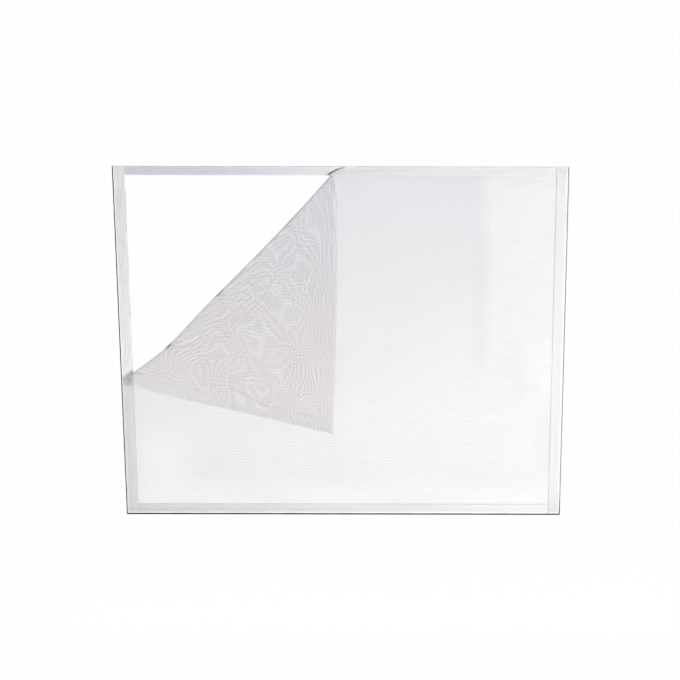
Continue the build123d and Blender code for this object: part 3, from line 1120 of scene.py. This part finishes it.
def bottom_tape_marks(nodes, place, colour, outwards):
    """A shade towards the left, painted light on a stretch at the right, a dark inner edge and a bare outer
    one.
    """
    across = nodes.axis(place, 0)
    to_right = across.ramp(*BOTTOM_PAINTED_LIGHT_STRETCH)
    colour = nodes.tint(colour, across.ramp(*BOTTOM_SHADE_STRETCH), (BOTTOM_SHADE, SHADED_TAPE))
    # Painted light on the stretch at the right
    colour = nodes.mix(to_right, colour, BOTTOM_PAINTED_LIGHT)
    line = (BOTTOM_INNER_LINE + BOTTOM_INNER_GAIN * to_right) * outwards.ramp(*INNER_EDGE)
    colour = nodes.mix(line, colour, INNER_LINE)
    return nodes.mix(outwards.ramp(*OUTER_EDGE), colour, BARE_SELVEDGE)


TAPE_MARKS = {
    "left": left_tape_marks,
    "right": right_tape_marks,
    "bottom": bottom_tape_marks,
    "top": top_tape_marks,
}


def tape_finish(side):
    """White hook tape: streaks along it, soft clouds, and the marks of its side."""
    material, nodes, shader = new_finish(f"{side}_hook_tape")
    place = nodes.object_place()

    def grain(along, across, detail):
        scales = (across, across, along) if side in ("left", "right") else (along, across, across)
        return nodes.grain(place, scales, detail)

    streaks = grain(STREAKS_ALONG, STREAKS_ACROSS, 2.0).ramp(*STREAK_STEP)
    weave = grain(WEAVE_ALONG, WEAVE_ACROSS, 1.0)
    colour = nodes.mix(streaks, DARK_STREAK, LIGHT_STREAK)
    colour = nodes.tint(colour, nodes.noise(place, CLOUD_SCALE, 3.0), CLOUDS)
    # Painted shade on the left tape, darker towards the top
    if side == "left":
        shaded_streaks = nodes.mix(streaks, SHADED_DARK_STREAK, SHADED_LIGHT_STREAK)
        colour = nodes.mix(left_tape_shade_share(nodes, place), colour, shaded_streaks)
    colour = TAPE_MARKS[side](nodes, place, colour, nodes.attribute("outwards"))
    finish_surface(nodes, shader, colour, (STREAK_ROUGHNESS, streaks), (WEAVE_BUMP, weave))
    return material


def foam_finish():
    """Dark adhesive foam: a mottled grey with fine open cells and dust that lightens it in places."""
    material, nodes, shader = new_finish("dark_adhesive_foam")
    place = nodes.object_place()
    across, height = nodes.across_and_up(place)
    cells = nodes.add("TexVoronoi", {}, {"Vector": place, "Scale": CELL_SCALE})
    dust = nodes.noise(place, FOAM_DUST_SCALE, 4.0)
    colour = nodes.mix(cells, FOAM_DARK, FOAM_LIGHT)
    colour = nodes.tint(colour, dust, FOAM_DUST)
    # Painted light: the foam's front at the right made lighter grey
    lit_front = across.ramp(*FOAM_LIT_ACROSS) * height.ramp(*FOAM_LIT_UP)
    colour = nodes.tint(colour, lit_front * nodes.axis(place, 1).ramp(*FOAM_LIT_FRONT), FOAM_PAINTED_LIGHT)
    shader["Specular IOR Level"].default_value = FOAM_GLOSS
    finish_surface(nodes, shader, colour, (FOAM_ROUGHNESS, dust), (CELL_BUMP, cells))
    return material


def background_ray(nodes):
    """1 for rays that show the background: from the camera, off gloss or through glass."""
    rays = ("Is Camera Ray", "Is Glossy Ray", "Is Transmission Ray")
    seen = [nodes.add("LightPath", {}, {}, ray) for ray in rays]
    return (seen[0] + seen[1] + seen[2]).held()


def make_floor():
    """A plain pale floor that shows nearly white and keeps the screen's shadow."""
    mesh = bpy.data.meshes.new("floor")
    corners = [(x * FLOOR_REACH, y * FLOOR_REACH, 0) for x, y in ((-1, -1), (1, -1), (1, 1), (-1, 1))]
    mesh.from_pydata(corners, [], [(0, 1, 2, 3)])
    material, nodes, shader = new_finish("pale_floor")
    nodes.feed(shader["Base Color"], FLOOR_COLOUR)
    nodes.feed(shader["Roughness"], FLOOR_ROUGHNESS)
    nodes.feed(shader["Specular IOR Level"], 0)
    plain = Value(nodes, nodes.tree.nodes["Principled BSDF"].outputs[0])
    glow = nodes.add("Emission", {}, {"Color": WHITE, "Strength": 1.0})
    shown = nodes.add("MixShader", {}, {0: FLOOR_WHITENESS * background_ray(nodes), 1: plain, 2: glow})
    nodes.feed(nodes.tree.nodes["Material Output"].inputs["Surface"], shown)
    mesh.materials.append(material)
    floor = bpy.data.objects.new("floor", mesh)
    bpy.context.scene.collection.objects.link(floor)


def make_light():
    """Even light from all round, soft lamps low in front and at the right, and a white background."""
    world = bpy.data.worlds.new("studio")
    bpy.context.scene.world = world
    world.use_nodes = True
    nodes = Nodes(world.node_tree)
    lighting = nodes.add("Background", {}, {"Color": WHITE, "Strength": WORLD_STRENGTH})
    shown = nodes.add("Background", {}, {"Color": WHITE, "Strength": 1.0})
    both = nodes.add("MixShader", {}, {0: background_ray(nodes), 1: lighting, 2: shown})
    nodes.feed(world.node_tree.nodes["World Output"].inputs["Surface"], both)
    soft_lamp("low_lamp", **LOW_LAMP)
    soft_lamp("side_lamp", **SIDE_LAMP)


def soft_lamp(name, place, target, size, power):
    """A lamp of a width and height at a place, turned to a target."""
    lamp = bpy.data.lights.new(name, "AREA")
    lamp.shape = "RECTANGLE"
    lamp.size, lamp.size_y = size
    lamp.energy = power
    holder = bpy.data.objects.new(name, lamp)
    holder.location = place
    holder.rotation_euler = (Vector(target) - Vector(place)).to_track_quat("-Z", "Y").to_euler()
    holder.visible_camera = False
    bpy.context.scene.collection.objects.link(holder)


def make_camera():
    """The photograph's view, set by angles about the middle of the screen, a distance and an offset."""
    angles = (CAMERA_ELEVATION, CAMERA_AZIMUTH, CAMERA_ROLL)
    elevation, azimuth, roll = (math.radians(angle) for angle in angles)
    level = math.cos(elevation)
    back = Vector((math.sin(azimuth) * level, -math.cos(azimuth) * level, math.sin(elevation)))
    flat_right = Vector((0, 0, 1)).cross(back).normalized()
    flat_up = back.cross(flat_right)
    right = flat_right * math.cos(roll) + flat_up * math.sin(roll)
    up = flat_up * math.cos(roll) - flat_right * math.sin(roll)
    place = Vector(SCREEN_MIDDLE) + back * CAMERA_DISTANCE + right * CAMERA_TO_RIGHT + up * CAMERA_UPWARDS
    lens = bpy.data.cameras.new("camera")
    lens.lens = CAMERA_LENS
    lens.sensor_width = CAMERA_SENSOR
    lens.shift_x = CAMERA_SHIFT
    camera = bpy.data.objects.new("camera", lens)
    camera.matrix_world = Matrix.Translation(place) @ Matrix((right, up, back)).transposed().to_4x4()
    bpy.context.scene.collection.objects.link(camera)
    bpy.context.scene.camera = camera


make_camera()
make_light()
make_floor()
bpy.context.scene.view_settings.view_transform = "Standard"

foam = foam_finish()
for node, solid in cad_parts.items():
    if node.startswith("adhesive"):
        solid.data.materials.clear()
        solid.data.materials.append(foam)

ribbons = [make_ribbon(side, tape_finish(side)) for side in ("left", "right", "bottom", "top")]
net = make_net(net_finish())
